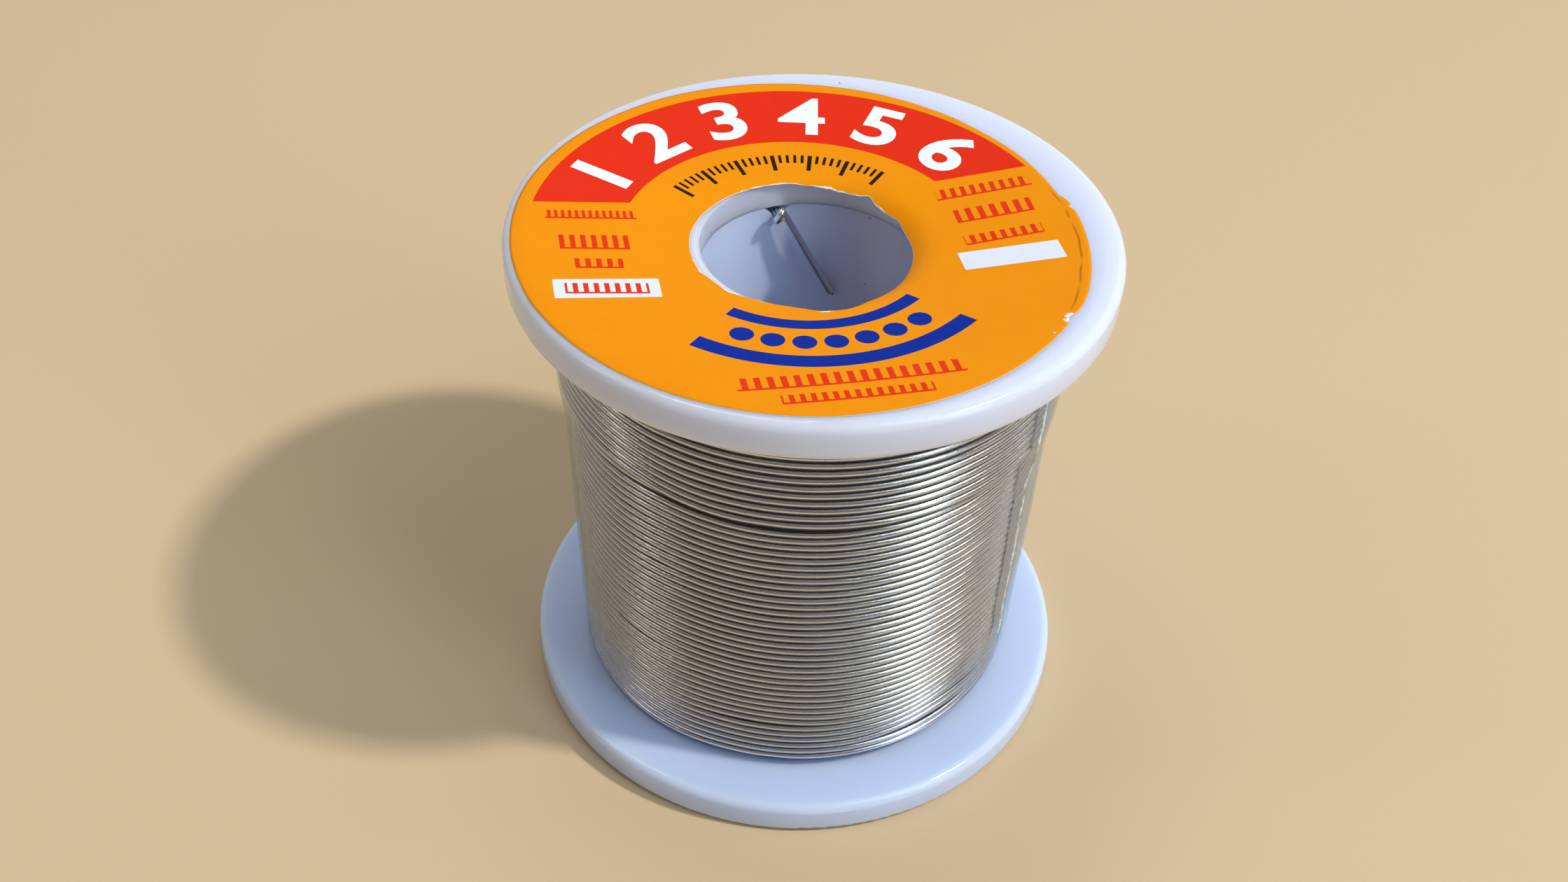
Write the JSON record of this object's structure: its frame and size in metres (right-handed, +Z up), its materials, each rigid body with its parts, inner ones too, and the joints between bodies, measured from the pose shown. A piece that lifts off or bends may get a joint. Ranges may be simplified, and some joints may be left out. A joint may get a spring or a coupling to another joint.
{
  "type": "solder wire spool",
  "caption": "Plastic reel with a round spindle bore and two round-rimmed flanges, wound full of soft solder wire, with a paper face label and a clear film wrap.",
  "frame": {"origin": "centre of the ring that the lower flange stands on, on the bore's axis", "axes": "+Z up along the bore, from the lower flange to the labelled upper flange; -Y is the side that faces a viewer who reads the label"},
  "size_m": [0.056, 0.056, 0.0533],
  "materials": {
    "reel_plastic": "smooth, slightly translucent white moulded polypropylene with a satin gloss",
    "label_paper": "satin printed paper, orange ground",
    "solder_wire": "drawn tin and lead wire, bright with fine draw lines",
    "flux": "amber rosin",
    "clear_film": "clear stretch film"
  },
  "bodies": {
    "root": {"lower_flange": "reel_plastic", "hub_barrel": "reel_plastic", "upper_flange": "reel_plastic", "face_label": "label_paper", "wire_layer_01": "solder_wire", "wire_layer_02": "solder_wire", "wire_layer_03": "solder_wire", "wire_layer_04": "solder_wire", "wire_layer_05": "solder_wire", "wire_layer_06": "solder_wire", "wire_layer_07": "solder_wire", "wire_layer_08": "solder_wire", "wire_layer_09": "solder_wire", "wire_layer_10": "solder_wire", "wire_layer_11": "solder_wire", "wire_layer_12": "solder_wire", "wire_layer_13": "solder_wire", "wire_layer_14": "solder_wire", "wire_layer_15": "solder_wire", "wire_top_band": "solder_wire", "wire_start_tail": "solder_wire", "tail_flux_core": "flux", "film_wrap": "clear_film"}
  },
  "joints": []
}
